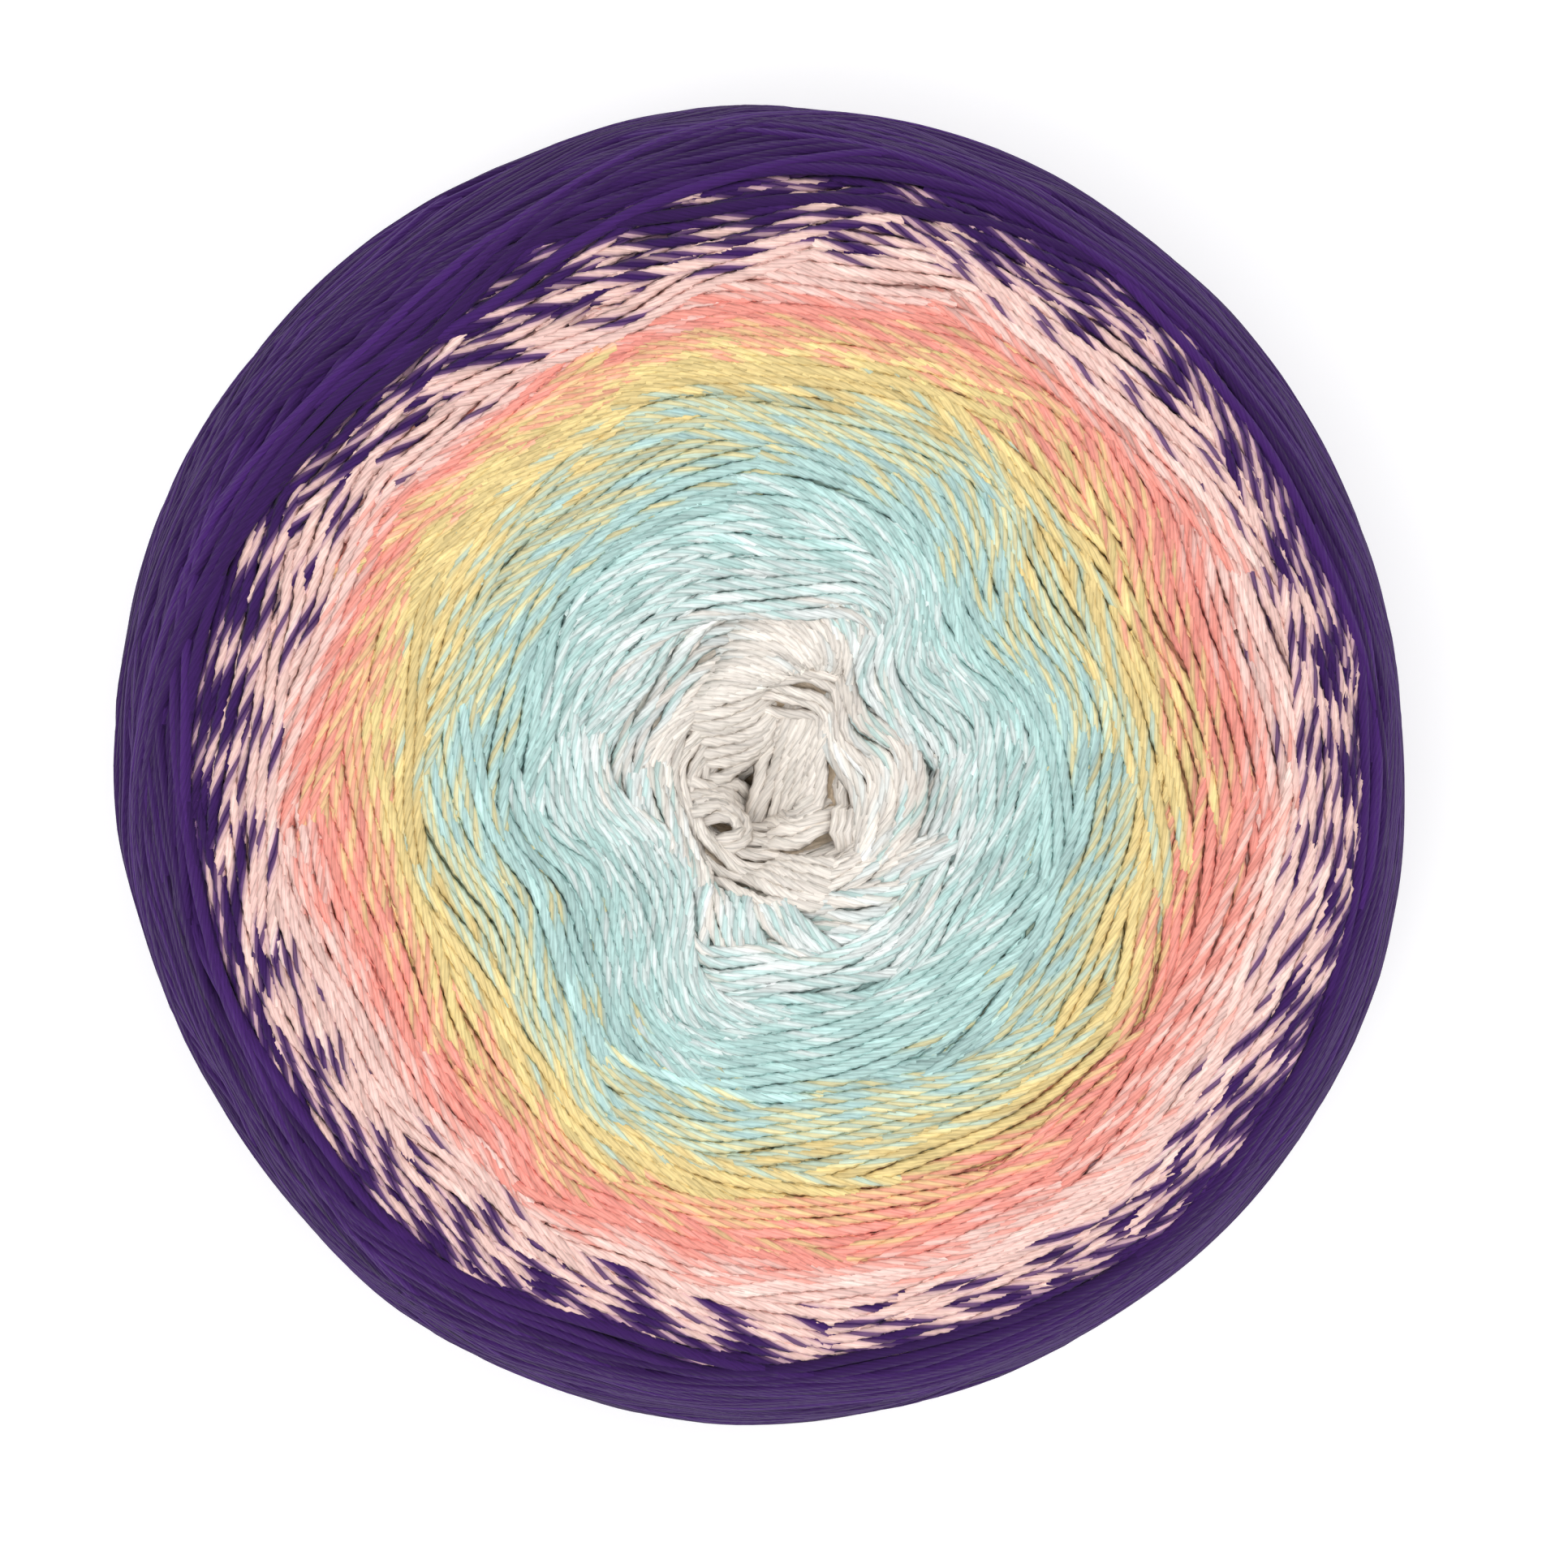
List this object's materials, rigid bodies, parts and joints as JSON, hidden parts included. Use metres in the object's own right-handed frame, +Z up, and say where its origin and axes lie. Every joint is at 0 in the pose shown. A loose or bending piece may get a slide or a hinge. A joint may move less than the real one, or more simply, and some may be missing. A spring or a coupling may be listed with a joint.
{
  "type": "yarn cake",
  "caption": "Flat round cake of machine-wound gradient yarn with a rounded wall and a sunk, closed middle; it lies on its lower face and unwinds for knitting or crochet.",
  "frame": {"origin": "under the middle of the cake's outline, on the surface that it lies on", "axes": "+Z up through the middle of the cake, from the face it lies on to the face it shows; +X to the right and +Y to the top of the view from straight above"},
  "size_m": [0.1566, 0.1602, 0.0602],
  "materials": {
    "gradient_yarn": "matte"
  },
  "bodies": {
    "root": {"wound_cake": "gradient_yarn"}
  },
  "joints": []
}
